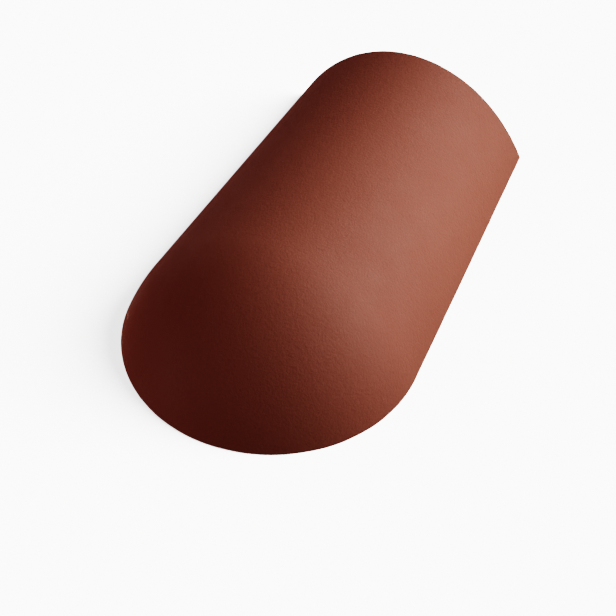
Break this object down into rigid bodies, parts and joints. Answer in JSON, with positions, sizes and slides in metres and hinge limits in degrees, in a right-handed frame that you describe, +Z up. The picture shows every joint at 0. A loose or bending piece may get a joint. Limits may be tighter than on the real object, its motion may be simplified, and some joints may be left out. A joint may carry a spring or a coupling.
{
  "type": "ridge end tile",
  "caption": "Tapered half-barrel tile that closes the end of a roof ridge: open at the narrow mouth, with a rounded domed end and a hollow underside.",
  "frame": {"origin": "centre of the footprint on the base plane, halfway between the tip of the dome and the mouth", "axes": "+X along the tile towards the open mouth, +Y across the tile, +Z up out of the crown"},
  "size_m": [0.4495, 0.2678, 0.1069],
  "materials": {
    "fired_clay": "matte"
  },
  "bodies": {
    "root": {"ridge_end_tile": "fired_clay"}
  },
  "joints": []
}
